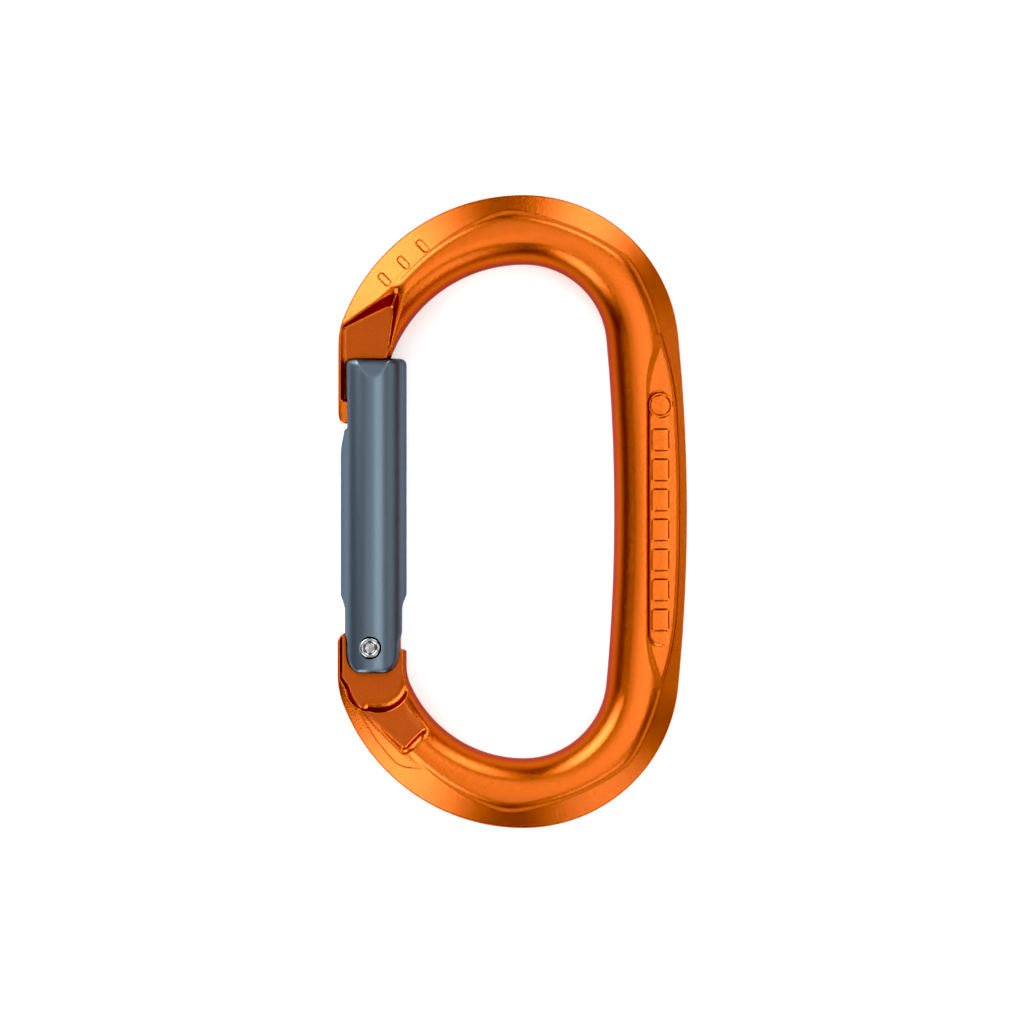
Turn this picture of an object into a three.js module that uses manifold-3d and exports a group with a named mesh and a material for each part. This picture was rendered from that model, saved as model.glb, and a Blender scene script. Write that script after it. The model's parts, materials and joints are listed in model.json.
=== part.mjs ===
// An oval snapgate carabiner: a forged C-shaped body, and a straight round gate that a riveted hinge and
// a spring-loaded plunger hold shut against the keylock nose.
//
// Units are millimetres. The carabiner lies flat: +X points from the gate to the spine, +Y from the hinge
// end to the nose end, and +Z is the thickness. The origin is under the middle of the oval, on the surface
// that the carabiner lies on. Shapes are drawn about the middle plane, and the whole group is lifted last.
import * as THREE from "three";
import { mergeVertices } from "three/addons/utils/BufferGeometryUtils.js";
import Module from "manifold-3d";

const wasm = await Module();
wasm.setup();

// Driving dimensions of the whole carabiner
const HALF_LENGTH = 55.0; // middle of the oval to the outside of either end
const THICKNESS = 12.2; // across the round bar, lying flat
const BAR_HALF_WIDTH = 5.0; // round bar, in the plane of the oval
const EDGE_HALF = 3.3; // half thickness of the flange at the outer edge
const FLANGE_RISE = 1.9; // how much thicker the flange is at the bar, on each side
const FLANGE_SLOPE = 4.0; // width of that sloping band
const BIG = 60; // longer than any cut

// Outer outline: one end, mirrored for the other
const CENTRE_X = 1.9; // where the two end arcs meet, measured from the middle
const CORNER_R = 27.0; // end arc on the spine side
const SHOULDER_R = 33.6; // end arc on the gate side
const GATE_CORNER_R = 14.0; // tighter arc that turns the end arc into the gate side
const GATE_SIDE_X = -30.4; // the straight outer edge on the gate side
const SPINE_R = 307.7; // the gentle bow of the spine
const SPINE_X = 30.3; // outside of the spine, at its middle

// Inner outline
const INNER_TOP = 43.0; // middle of the oval to the inside of either end
const INNER_X = 2.0;
const INNER_CORNER_R = 14.4;
const INNER_SPINE_X = 17.7;
const NOSE_ARC_R = 24.6; // inner arc that leads to the nose
const HINGE_ARC_R = 21.6; // inner arc that leads to the hinge
const HINGE_ARC_END = -161; // degrees, where that arc turns straight up beside the gate

// Gate and hinge
const GATE_R = 5.75;
const GATE_X = -24.2; // axis of the gate
const GATE_TOP = 26.6;
const GATE_BOTTOM = -28.05;
const PIVOT = new THREE.Vector2(-24.67, -23.62);
const TANG_HALF = 2.65; // half thickness of the body inside the gate's hinge slot
const STEP_HALF = 4.75; // half thickness left under the shallow step beside the hinge
const HINGE_SLOT_HALF = 2.85;
const HINGE_SLOT_TOP = -15.2;
const WEB_HALF = 2.55; // half thickness of the nose's web
const WEB_SLOT_HALF = 2.8;
const BULB_HALF = 3.2; // half thickness of the nose's bulb and of the rim outside it
const BULB_SLOT_HALF = 3.45;
const BULB_TOP = 19.2;
const NOSE_TIP = 14.7;

// Rivet, spring and plunger
const RIVET_R = 1.3;
const TANG_HOLE_R = 1.38; // running fit on the rivet
const EAR_HOLE_R = 1.38;
const HEAD_R = 1.82;
const PLUNGER_OFFSET = 3.0; // plunger axis, on the inner side of the pivot
const LEDGE_RISE = 1.5; // height of the tang's ledge over the pivot
const ROD_R = 0.8;
const BORE_R = 1.9;
const BORE_END = 4.6;
const CAP_R = 1.65; // plunger's head, under the spring
const CAP_BOTTOM = -9.6;
const CAP_TOP = -8.4;
const SPRING_TOP = 4.3;
const WIRE_R = 0.23;
const COIL_R = 1.4; // middle of the wire
const COILS = 10;
const RUNNING_GAP = 0.06;

// Recessed panel on both faces of the spine
const PANEL_FLOOR = 5.2;
const PANEL_LIP = 5.5;

const BAR_SIDES = 18;
const ROUND = 40; // sides on the gate
const SMALL_ROUND = 32; // sides on pins and holes

const rad = THREE.MathUtils.degToRad;
const HALF = THICKNESS / 2;

// ---------------------------------------------------------------- solids

// A closed geometry as a manifold-3d solid.
function solid(geometry) {
  const bare = geometry.clone();
  bare.deleteAttribute("normal");
  bare.deleteAttribute("uv");
  const merged = mergeVertices(bare, 1e-4);
  return new wasm.Manifold(
    new wasm.Mesh({
      numProp: 3,
      vertProperties: merged.attributes.position.array,
      triVerts: new Uint32Array(merged.index.array),
    }),
  );
}

// A solid's surface as a BufferGeometry.
function geometryOf(made) {
  const mesh = made.getMesh();
  const geometry = new THREE.BufferGeometry();
  geometry.setAttribute("position", new THREE.BufferAttribute(mesh.vertProperties, mesh.numProp));
  geometry.setIndex(new THREE.BufferAttribute(mesh.triVerts, 1));
  geometry.computeVertexNormals();
  return geometry;
}

// A flat shape as a prism from z = low to z = high.
function prism(shape, low, high, curveSegments = 12) {
  const geometry = new THREE.ExtrudeGeometry(shape, {
    depth: high - low,
    bevelEnabled: false,
    curveSegments,
  });
  return solid(geometry.translate(0, 0, low));
}

// What lies outside |z| = half, over a flat shape: the cutter for a recess on both faces.
function recess(shape, half) {
  return prism(shape, half, BIG).add(prism(shape, -BIG, -half));
}

function polygon(points) {
  return new THREE.Shape(points.map(([x, y]) => new THREE.Vector2(x, y)));
}

// ---------------------------------------------------------------- outlines

// The outer outline, anticlockwise from the middle of the gate side.
function outerOutline() {
  const shoulder = HALF_LENGTH - SHOULDER_R;
  const corner = HALF_LENGTH - CORNER_R;
  const gateCornerX = GATE_SIDE_X + GATE_CORNER_R;
  const turn = Math.acos((gateCornerX - CENTRE_X) / (SHOULDER_R - GATE_CORNER_R));
  const gateCornerY = shoulder + (SHOULDER_R - GATE_CORNER_R) * Math.sin(turn);
  const bow = Math.asin(corner / (SPINE_R - CORNER_R));
  const shape = new THREE.Shape();
  shape.moveTo(GATE_SIDE_X, 0);
  shape.absarc(gateCornerX, -gateCornerY, GATE_CORNER_R, -Math.PI, -turn, false);
  shape.absarc(CENTRE_X, -shoulder, SHOULDER_R, -turn, -Math.PI / 2, false);
  shape.absarc(CENTRE_X, -corner, CORNER_R, -Math.PI / 2, -bow, false);
  shape.absarc(SPINE_X - SPINE_R, 0, SPINE_R, -bow, bow, false);
  shape.absarc(CENTRE_X, corner, CORNER_R, bow, Math.PI / 2, false);
  shape.absarc(CENTRE_X, shoulder, SHOULDER_R, Math.PI / 2, turn, false);
  shape.absarc(gateCornerX, gateCornerY, GATE_CORNER_R, turn, Math.PI, false);
  shape.closePath();
  return shape;
}

// The line at a distance outside the inner outline, from the nose round the spine to the hinge.
function innerLine(path, distance) {
  const drop = INNER_TOP - INNER_CORNER_R;
  const lean = INNER_SPINE_X - INNER_X;
  const gap = INNER_CORNER_R - lean;
  // the bow that passes INNER_SPINE_X and touches both corner arcs
  const bowR = (drop * drop + lean * lean - INNER_CORNER_R * INNER_CORNER_R) / (-2 * gap);
  const bow = Math.asin(drop / (bowR - INNER_CORNER_R));
  const hingeEnd = rad(HINGE_ARC_END);
  path.absarc(INNER_X, INNER_TOP - NOSE_ARC_R, NOSE_ARC_R + distance, rad(172), rad(90), true);
  path.absarc(INNER_X, drop, INNER_CORNER_R + distance, rad(90), bow, true);
  path.absarc(INNER_SPINE_X - bowR, 0, bowR + distance, bow, -bow, true);
  path.absarc(INNER_X, -drop, INNER_CORNER_R + distance, -bow, rad(-90), true);
  path.absarc(INNER_X, HINGE_ARC_R - INNER_TOP, HINGE_ARC_R + distance, rad(-90), hingeEnd, true);
  path.lineTo(INNER_X + (HINGE_ARC_R + distance) * Math.cos(hingeEnd), PIVOT.y + 5.5);
  return path;
}

// The nose's inner side, from its tip on the outside of the gate to the inner outline.
function noseProfile(shape, clearance) {
  const tipX = GATE_SIDE_X + 1.5;
  shape.lineTo(GATE_SIDE_X - 0.1, NOSE_TIP + 1.5 - clearance);
  shape.quadraticCurveTo(GATE_SIDE_X, NOSE_TIP - clearance, tipX, NOSE_TIP - clearance);
  shape.bezierCurveTo(
    tipX + 3.4 + clearance,
    NOSE_TIP - clearance,
    tipX + 7.1 + clearance,
    NOSE_TIP + 6.8,
    tipX + 8.3 + clearance,
    NOSE_TIP + 12.9,
  );
}

// The tang's top, from the inner lip over the plunger's ledge and the hub to the outer rim.
function tangProfile(shape) {
  const { x, y } = PIVOT;
  shape.lineTo(x + 6.5, y - 4.6);
  shape.lineTo(x + 6.0, y - 0.45);
  shape.lineTo(x + 5.4, y - 0.45);
  shape.lineTo(x + 5.2, y + LEDGE_RISE);
  shape.lineTo(x + 2.2, y + LEDGE_RISE);
  shape.quadraticCurveTo(x + 1.9, y + 4.5, x, y + 4.6);
  shape.quadraticCurveTo(x - 2.6, y + 4.6, x - 4.9, y + 2.8);
  shape.quadraticCurveTo(x - 5.7, y + 2.4, x - 5.8, y + 0.6);
}

// The gap in the oval that the gate closes.
function gateGap() {
  const shape = new THREE.Shape();
  shape.moveTo(-BIG, NOSE_TIP + 1.5);
  noseProfile(shape, 0);
  shape.lineTo(-17, NOSE_TIP + 14);
  shape.lineTo(-10, 0);
  shape.lineTo(-14, PIVOT.y - 4.6);
  tangProfile(shape);
  shape.lineTo(-BIG, PIVOT.y + 0.6);
  shape.closePath();
  return shape;
}

// The boat-shaped panel on the spine, grown by a margin.
function panelOutline(margin) {
  const left = 23.5 - margin;
  const right = 29.1 + margin;
  const tipY = 29.0 + 2 * margin;
  const shape = new THREE.Shape();
  shape.moveTo(26.5, tipY);
  shape.quadraticCurveTo(left, 26.5, left, 21.5);
  shape.lineTo(left, -21.5);
  shape.quadraticCurveTo(left, -26.5, 26.1, -tipY);
  shape.quadraticCurveTo(right, -15, right, 0);
  shape.quadraticCurveTo(right, 15, 26.5, tipY);
  return shape;
}

// ---------------------------------------------------------------- body

// A flat path as a 3D curve in the middle plane.
class FlatCurve extends THREE.Curve {
  constructor(path) {
    super();
    this.path = path;
  }
  getPoint(t, target = new THREE.Vector3()) {
    const p = this.path.getPoint(t);
    return target.set(p.x, p.y, 0);
  }
}

// The round bar: an ellipse with a narrow flat at each crown, swept round the oval.
function bar() {
  const half = Math.PI / BAR_SIDES;
  const section = new THREE.Shape();
  const tall = HALF / Math.cos(half);
  section.absellipse(0, 0, tall, BAR_HALF_WIDTH, half, half + 2 * Math.PI, false, 0);
  const line = innerLine(new THREE.Path(), BAR_HALF_WIDTH);
  return solid(
    new THREE.ExtrudeGeometry(section, {
      steps: 68,
      curveSegments: BAR_SIDES / 2,
      extrudePath: new FlatCurve(line),
    }),
  );
}

// The flange outside the bar: thin at the outer edge, with a sloping band on each face.
function flange() {
  const geometry = new THREE.ExtrudeGeometry(outerOutline(), {
    depth: 2 * EDGE_HALF,
    curveSegments: 7,
    bevelEnabled: true,
    bevelSegments: 1,
    bevelThickness: FLANGE_RISE,
    bevelSize: FLANGE_SLOPE,
    bevelOffset: -FLANGE_SLOPE,
  });
  const inside = innerLine(new THREE.Shape(), BAR_HALF_WIDTH / 2);
  return solid(geometry.translate(0, 0, -EDGE_HALF)).subtract(prism(inside, -BIG, BIG, 8));
}

// The spine is filled out to carry its panel.
function spinePad() {
  const slope = 0.9;
  const geometry = new THREE.ExtrudeGeometry(panelOutline(0.9), {
    depth: 2 * (PANEL_LIP - slope),
    curveSegments: 6,
    bevelEnabled: true,
    bevelSegments: 1,
    bevelThickness: slope,
    bevelSize: slope / 2,
    bevelOffset: -slope / 2,
  });
  return solid(geometry.translate(0, 0, slope - PANEL_LIP));
}

// The recess that the gate's ears turn in, down to the tang, then a shallower step beside the bar.
function hingeRecess() {
  const { x, y } = PIVOT;
  const rim = x - 4.87;
  const ears = new THREE.Shape();
  ears.moveTo(rim, y + 8);
  ears.lineTo(rim, y - 7.4);
  ears.quadraticCurveTo(rim + 0.6, y - 8.8, x - 1.6, y - 10.0);
  ears.quadraticCurveTo(x + 2.2, y - 11.9, x + 6.7, y - 7.5);
  ears.lineTo(x + 5.8, y - 2.9);
  ears.lineTo(x + 8, y - 2.9);
  ears.lineTo(x + 8, y + 8);
  const step = polygon([
    [x - 0.4, y - 10.4],
    [x + 6.0, y - 8.3],
    [x + 9.0, y - 14.2],
    [x + 6.1, y - 17.6],
  ]);
  return recess(ears, TANG_HALF).add(recess(step, STEP_HALF));
}

// The recess on each face of the nose, with a rim left along the outer edge, and the bulb near the tip.
function noseRecess() {
  const rim = GATE_SIDE_X + 1.2;
  const web = polygon([
    [rim, BULB_TOP],
    [-10, BULB_TOP],
    [-14, 27.4],
    [-21.4, 27.4],
    [-20.9, 31.5],
    [-20.3, 35.6],
    [-22.0, 36.6],
    [-28.2, 33.2],
    [rim, 31.5],
  ]);
  const bulb = polygon([
    [-BIG, 0],
    [-10, 0],
    [-10, BULB_TOP + 0.2],
    [-BIG, BULB_TOP + 0.2],
  ]);
  return recess(web, WEB_HALF).add(recess(bulb, BULB_HALF));
}

function holeAlongZ(radius, low, high) {
  const fitted = radius / Math.cos(Math.PI / SMALL_ROUND);
  const geometry = new THREE.CylinderGeometry(fitted, fitted, high - low, SMALL_ROUND);
  return solid(geometry.rotateX(Math.PI / 2).translate(PIVOT.x, PIVOT.y, (low + high) / 2));
}

function body() {
  return bar()
    .intersect(prism(outerOutline(), -BIG, BIG, 7))
    .add(flange())
    .add(spinePad())
    .subtract(prism(gateGap(), -BIG, BIG, 8))
    .subtract(recess(panelOutline(0), PANEL_FLOOR))
    .subtract(hingeRecess())
    .subtract(noseRecess())
    .subtract(holeAlongZ(TANG_HOLE_R, -BIG, BIG));
}

// ---------------------------------------------------------------- gate

// The gate seen from the face: ears with rounded corners at the hinge end, a square end at the nose, and a
// flat on the outer side that the nose's rim lies over.
function gateOutline() {
  const beyond = GATE_R + 1;
  const ear = { outer: 4.95, inner: 4.65, top: GATE_BOTTOM + 8, bottom: GATE_BOTTOM + 4.2 };
  const floor = { outer: 2.0, inner: 2.2 };
  const rimFlat = 4.9;
  const shape = new THREE.Shape();
  shape.moveTo(GATE_X - floor.outer, GATE_BOTTOM);
  shape.lineTo(GATE_X + floor.inner, GATE_BOTTOM);
  shape.quadraticCurveTo(GATE_X + ear.inner - 0.3, GATE_BOTTOM, GATE_X + ear.inner, ear.bottom);
  shape.lineTo(GATE_X + ear.inner + 0.3, ear.top + 3);
  shape.lineTo(GATE_X + GATE_R, ear.top + 5);
  shape.lineTo(GATE_X + beyond, ear.top + 6);
  shape.lineTo(GATE_X + beyond, GATE_TOP - 2.2);
  shape.lineTo(GATE_X + GATE_R, GATE_TOP - 2.0);
  shape.quadraticCurveTo(GATE_X + GATE_R - 0.2, GATE_TOP - 0.2, GATE_X + GATE_R - 2.0, GATE_TOP);
  shape.lineTo(GATE_X - rimFlat + 1.8, GATE_TOP);
  shape.quadraticCurveTo(GATE_X - rimFlat, GATE_TOP, GATE_X - rimFlat, GATE_TOP - 1.8);
  shape.lineTo(GATE_X - rimFlat, NOSE_TIP - 0.6);
  shape.lineTo(GATE_X - GATE_R, NOSE_TIP - 3.4);
  shape.lineTo(GATE_X - beyond, NOSE_TIP - 5);
  shape.lineTo(GATE_X - beyond, ear.top + 7);
  shape.lineTo(GATE_X - GATE_R, ear.top + 5.5);
  shape.lineTo(GATE_X - ear.outer, ear.top);
  shape.lineTo(GATE_X - ear.outer + 0.1, ear.bottom);
  shape.quadraticCurveTo(GATE_X - ear.outer + 0.9, GATE_BOTTOM, GATE_X - floor.outer, GATE_BOTTOM);
  return shape;
}

// A shallow flat that thins the free end of the gate on both faces.
function endFlats() {
  const long = 6;
  const flat = new THREE.BoxGeometry(4 * GATE_R, long, GATE_R).translate(0, long / 2, GATE_R / 2);
  flat.rotateX(rad(-14.4)).translate(GATE_X, GATE_TOP - 3.3, GATE_R);
  const top = solid(flat);
  return top.add(top.mirror([0, 0, 1]));
}

// The keyhole that takes the nose: a slot for the web and a wider one for the bulb.
function noseSlot() {
  const clearance = 0.6;
  const web = new THREE.Shape();
  web.moveTo(-BIG, NOSE_TIP);
  noseProfile(web, clearance);
  web.lineTo(GATE_X + 4.0, GATE_TOP + 5);
  web.lineTo(-BIG, GATE_TOP + 5);
  const bulb = prism(web, -BULB_SLOT_HALF, BULB_SLOT_HALF).trimByPlane([0, -1, 0], -BULB_TOP - 0.5);
  return prism(web, -WEB_SLOT_HALF, WEB_SLOT_HALF).add(bulb);
}

// The slot between the gate's two ears.
function hingeSlot() {
  const shape = new THREE.Shape();
  shape.moveTo(GATE_X - 8, GATE_BOTTOM - 5);
  shape.lineTo(GATE_X + 8, GATE_BOTTOM - 5);
  shape.lineTo(GATE_X + 8, HINGE_SLOT_TOP - 0.6);
  shape.lineTo(GATE_X + 4.2, HINGE_SLOT_TOP - 0.6);
  shape.quadraticCurveTo(GATE_X, HINGE_SLOT_TOP - 0.6, GATE_X - 4.4, HINGE_SLOT_TOP);
  shape.lineTo(GATE_X - 8, HINGE_SLOT_TOP + 0.9);
  return prism(shape, -HINGE_SLOT_HALF, HINGE_SLOT_HALF, 6);
}

// The blind bore for the spring, on the inner side of the gate's axis.
function springBore() {
  const fitted = BORE_R / Math.cos(Math.PI / SMALL_ROUND);
  const low = HINGE_SLOT_TOP - 3;
  const geometry = new THREE.CylinderGeometry(fitted, fitted, BORE_END - low, SMALL_ROUND / 2);
  return solid(geometry.translate(PIVOT.x + PLUNGER_OFFSET, (BORE_END + low) / 2, 0));
}

// Countersinks in the ears for the rivet's two heads.
function countersinks() {
  const profile = [
    [0, 4.6],
    [EAR_HOLE_R, 4.6],
    [EAR_HOLE_R, 4.85],
    [HEAD_R + 0.12, 5.35],
    [HEAD_R + 0.12, 7],
    [0, 7],
  ];
  const geometry = latheAlongZ(profile);
  const top = solid(geometry.translate(PIVOT.x, PIVOT.y, 0));
  return top.add(top.mirror([0, 0, 1]));
}

function latheAlongZ(profile) {
  const points = profile.map(([r, z]) => new THREE.Vector2(r, z));
  return new THREE.LatheGeometry(points, SMALL_ROUND).rotateX(Math.PI / 2);
}

function gate() {
  const length = GATE_TOP - GATE_BOTTOM + 2;
  const rod = new THREE.CylinderGeometry(GATE_R, GATE_R, length, ROUND);
  return solid(rod.translate(GATE_X, (GATE_TOP + GATE_BOTTOM) / 2, 0))
    .intersect(prism(gateOutline(), -BIG, BIG, 6))
    .subtract(endFlats())
    .subtract(noseSlot())
    .subtract(hingeSlot())
    .subtract(springBore())
    .subtract(holeAlongZ(EAR_HOLE_R, -BIG, BIG))
    .subtract(countersinks());
}

// ---------------------------------------------------------------- rivet, spring and plunger

// A semi-tubular rivet, flared at both ends.
function rivet() {
  const end = [
    [0, 5.25],
    [1.0, 5.3],
    [1.15, 5.62],
    [1.4, 5.72],
    [HEAD_R - 0.12, 5.6],
    [HEAD_R, 5.4],
    [HEAD_R - 0.02, 5.35],
    [RIVET_R, 4.87],
  ];
  const other = end.map(([r, z]) => [r, -z]).reverse();
  const geometry = latheAlongZ([...end, ...other].reverse());
  return geometry.translate(PIVOT.x, PIVOT.y, 0);
}

// The spring's wire: close coils at both ends, open ones between.
class SpringCurve extends THREE.Curve {
  constructor(low, high) {
    super();
    this.low = low + WIRE_R;
    this.travel = high - low - 2 * WIRE_R;
  }
  getPoint(t, target = new THREE.Vector3()) {
    const angle = 2 * Math.PI * COILS * t;
    const eased = t - Math.sin(2 * Math.PI * t) / (2 * Math.PI);
    const flatEnds = 0.45 * t + 0.55 * eased;
    return target.set(
      PIVOT.x + PLUNGER_OFFSET + COIL_R * Math.cos(angle),
      this.low + this.travel * flatEnds,
      COIL_R * Math.sin(angle),
    );
  }
}

function spring() {
  const wire = new THREE.Shape();
  wire.absarc(0, 0, WIRE_R, 0, 2 * Math.PI);
  return new THREE.ExtrudeGeometry(wire, {
    steps: 13 * COILS,
    curveSegments: 3,
    extrudePath: new SpringCurve(CAP_TOP + RUNNING_GAP, SPRING_TOP),
  });
}

// A stepped pin: its head carries the spring, and its round foot stands on the tang's ledge.
function plunger() {
  const foot = PIVOT.y + LEDGE_RISE + RUNNING_GAP;
  const profile = [
    [0, foot],
    [ROD_R * 0.6, foot + ROD_R * 0.2],
    [ROD_R, foot + ROD_R],
    [ROD_R, CAP_BOTTOM],
    [CAP_R - 0.2, CAP_BOTTOM],
    [CAP_R, CAP_BOTTOM + 0.2],
    [CAP_R, CAP_TOP],
    [0, CAP_TOP],
  ];
  const points = profile.map(([r, y]) => new THREE.Vector2(r, y));
  const geometry = new THREE.LatheGeometry(points, SMALL_ROUND / 2);
  return geometry.translate(PIVOT.x + PLUNGER_OFFSET, 0, 0);
}

// ---------------------------------------------------------------- assembly

const orangeAnodised = new THREE.MeshStandardMaterial({
  color: 0xd9661a,
  roughness: 0.3,
  metalness: 1.0,
});
const greyAnodised = new THREE.MeshStandardMaterial({
  color: 0x4a5b70,
  roughness: 0.45,
  metalness: 0.9,
});
const stainless = new THREE.MeshStandardMaterial({
  color: 0xc9c7c4,
  roughness: 0.28,
  metalness: 1.0,
});

const carabiner = new THREE.Group();

function addPiece(name, geometry, material) {
  const mesh = new THREE.Mesh(geometry, material);
  mesh.name = name;
  carabiner.add(mesh);
}

addPiece("body", geometryOf(body()), orangeAnodised);
addPiece("gate", geometryOf(gate()), greyAnodised);
addPiece("hinge_rivet", rivet(), stainless);
addPiece("gate_spring", spring(), stainless);
addPiece("spring_plunger", plunger(), stainless);
carabiner.position.z = HALF;

export default carabiner;
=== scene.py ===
"""An oval snapgate carabiner: its looks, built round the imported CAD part.

The forged body and the gate are smooth solids given by formulas: a value that is negative inside, from
which a fine mesh is drawn, so that every pocket, ridge and edge has the rounding of a forged and milled
part. The lengths in the formulas are millimetres, in the part's own frame, with z counted from its middle
plane; meshes are turned into metres when they are made.
"""

import json
import math

import bpy
import numpy as np
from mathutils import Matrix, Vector


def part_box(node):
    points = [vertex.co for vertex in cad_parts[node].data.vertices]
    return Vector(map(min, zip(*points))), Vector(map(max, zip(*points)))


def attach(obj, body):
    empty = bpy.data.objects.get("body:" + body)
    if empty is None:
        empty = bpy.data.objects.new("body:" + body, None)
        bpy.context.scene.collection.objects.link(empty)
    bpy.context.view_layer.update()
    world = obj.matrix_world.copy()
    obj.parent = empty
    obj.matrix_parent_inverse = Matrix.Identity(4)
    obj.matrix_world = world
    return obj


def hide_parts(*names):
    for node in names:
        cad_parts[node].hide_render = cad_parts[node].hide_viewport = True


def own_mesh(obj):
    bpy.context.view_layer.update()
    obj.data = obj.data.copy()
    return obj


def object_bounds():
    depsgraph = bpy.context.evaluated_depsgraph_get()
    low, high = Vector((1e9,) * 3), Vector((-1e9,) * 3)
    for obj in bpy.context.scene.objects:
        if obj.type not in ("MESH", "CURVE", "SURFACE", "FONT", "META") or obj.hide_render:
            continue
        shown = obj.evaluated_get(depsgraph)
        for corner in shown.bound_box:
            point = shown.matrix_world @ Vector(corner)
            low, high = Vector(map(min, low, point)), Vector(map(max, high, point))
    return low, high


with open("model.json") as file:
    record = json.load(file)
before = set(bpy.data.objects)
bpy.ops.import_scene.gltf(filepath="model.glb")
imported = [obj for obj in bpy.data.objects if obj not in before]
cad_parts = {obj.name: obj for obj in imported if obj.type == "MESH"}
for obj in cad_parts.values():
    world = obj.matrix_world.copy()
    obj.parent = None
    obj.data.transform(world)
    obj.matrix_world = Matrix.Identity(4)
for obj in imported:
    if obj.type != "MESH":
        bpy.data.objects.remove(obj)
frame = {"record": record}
cad_low, cad_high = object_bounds()

MM = 0.001
STEP = 0.2  # spacing of the fine meshes

HINGE = next(joint for joint in frame["record"]["behaviour"]["joints"] if joint["type"] == "hinge")
PIVOT_X, PIVOT_Y = (value / MM for value in HINGE["pos_m"][:2])
HALF = (cad_high.z - cad_low.z) / 2 / MM  # half the thickness of the round bar
HALF_LENGTH = (cad_high.y - cad_low.y) / 2 / MM


def node_box(node):
    """The low and high corners of a CAD node's box, in millimetres."""
    low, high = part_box(node)
    return [value / MM for value in low], [value / MM for value in high]


GATE_LOW, GATE_HIGH = node_box("gate")
GATE_R = (GATE_HIGH[0] - GATE_LOW[0]) / 2
GATE_X = (GATE_HIGH[0] + GATE_LOW[0]) / 2
GATE_TOP = GATE_HIGH[1]
GATE_BOTTOM = GATE_LOW[1]
RIVET_R = (node_box("hinge_rivet")[1][0] - node_box("hinge_rivet")[0][0]) / 2
RIVET_TOP = node_box("hinge_rivet")[1][2] - HALF
PLUNGER_LOW, PLUNGER_HIGH = node_box("spring_plunger")
PLUNGER_X = (PLUNGER_LOW[0] + PLUNGER_HIGH[0]) / 2
SPRING_LOW, SPRING_HIGH = node_box("gate_spring")


# ------------------------------------------------------------------ formulas for solids


def smin(a, b, r):
    """The lesser of a and b, rounded where they meet: joins two solids with a fillet."""
    h = np.maximum(r - np.abs(a - b), 0.0) / r
    return np.minimum(a, b) - h * h * r / 4


def smax(a, b, r):
    """The greater of a and b, rounded where they meet: keeps what two solids share."""
    return -smin(-a, -b, r)


def step01(x, low, high):
    """0 below low, 1 above high, and an S-curve between them."""
    t = np.clip((x - low) / (high - low), 0.0, 1.0)
    return t * t * (3 - 2 * t)


def side(x, y, start, end):
    """Distance to the right of the line from start to end."""
    dx, dy = end[0] - start[0], end[1] - start[1]
    return ((x - start[0]) * dy - (y - start[1]) * dx) / math.hypot(dx, dy)


def slope_wall(distance, height, lean):
    """A wall that leans back by lean degrees as height grows."""
    a = math.radians(lean)
    return distance * math.cos(a) - height * math.sin(a)


# ------------------------------------------------------------------ outlines of the body

CENTRE_X = 1.9
CORNER_R = 27.0
SHOULDER_R = 33.6
GATE_CORNER_R = 14.0
GATE_SIDE_X = cad_low.x / MM
SPINE_R = 307.7
SPINE_X = cad_high.x / MM
INNER_X = 2.0
INNER_TOP = 43.0
INNER_CORNER_R = 14.4
INNER_SPINE_X = 17.7
NOSE_ARC_R = 24.6
HINGE_ARC_R = 21.6
LIP_X = -18.45


def outer_outline(x, y):
    """Depth inside the outer outline, and the way along it from the middle of the spine."""
    up = np.abs(y)
    corner_y = HALF_LENGTH - CORNER_R
    shoulder_y = HALF_LENGTH - SHOULDER_R
    gate_corner_x = GATE_SIDE_X + GATE_CORNER_R
    turn = math.acos((gate_corner_x - CENTRE_X) / (SHOULDER_R - GATE_CORNER_R))
    gate_corner_y = shoulder_y + (SHOULDER_R - GATE_CORNER_R) * math.sin(turn)
    bow = math.asin(corner_y / (SPINE_R - CORNER_R))
    spine_x = SPINE_X - SPINE_R

    spine_turn = np.arctan2(up, x - spine_x)
    corner_turn = np.arctan2(up - corner_y, x - CENTRE_X)
    shoulder_turn = np.arctan2(up - shoulder_y, x - CENTRE_X)
    shoulder_turn = np.where(shoulder_turn < 0, shoulder_turn + 2 * math.pi, shoulder_turn)
    gate_turn = np.arctan2(up - gate_corner_y, x - gate_corner_x)
    after_corner = SPINE_R * bow + CORNER_R * (math.pi / 2 - bow)
    after_shoulder = after_corner + SHOULDER_R * (turn - math.pi / 2)
    after_gate_corner = after_shoulder + GATE_CORNER_R * (math.pi - turn)

    on_spine = (x > CENTRE_X) & (spine_turn < bow)
    on_shoulder = shoulder_turn < turn
    on_gate_corner = up > gate_corner_y
    where = [on_spine, x > CENTRE_X, on_shoulder, on_gate_corner]
    depth = np.select(
        where,
        [
            SPINE_R - np.hypot(x - spine_x, up),
            CORNER_R - np.hypot(x - CENTRE_X, up - corner_y),
            SHOULDER_R - np.hypot(x - CENTRE_X, up - shoulder_y),
            GATE_CORNER_R - np.hypot(x - gate_corner_x, up - gate_corner_y),
        ],
        x - GATE_SIDE_X,
    )
    along = np.select(
        where,
        [
            SPINE_R * spine_turn,
            SPINE_R * bow + CORNER_R * (corner_turn - bow),
            after_corner + SHOULDER_R * (shoulder_turn - math.pi / 2),
            after_shoulder + GATE_CORNER_R * (gate_turn - turn),
        ],
        after_gate_corner + gate_corner_y - up,
    )
    return depth, along


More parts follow.
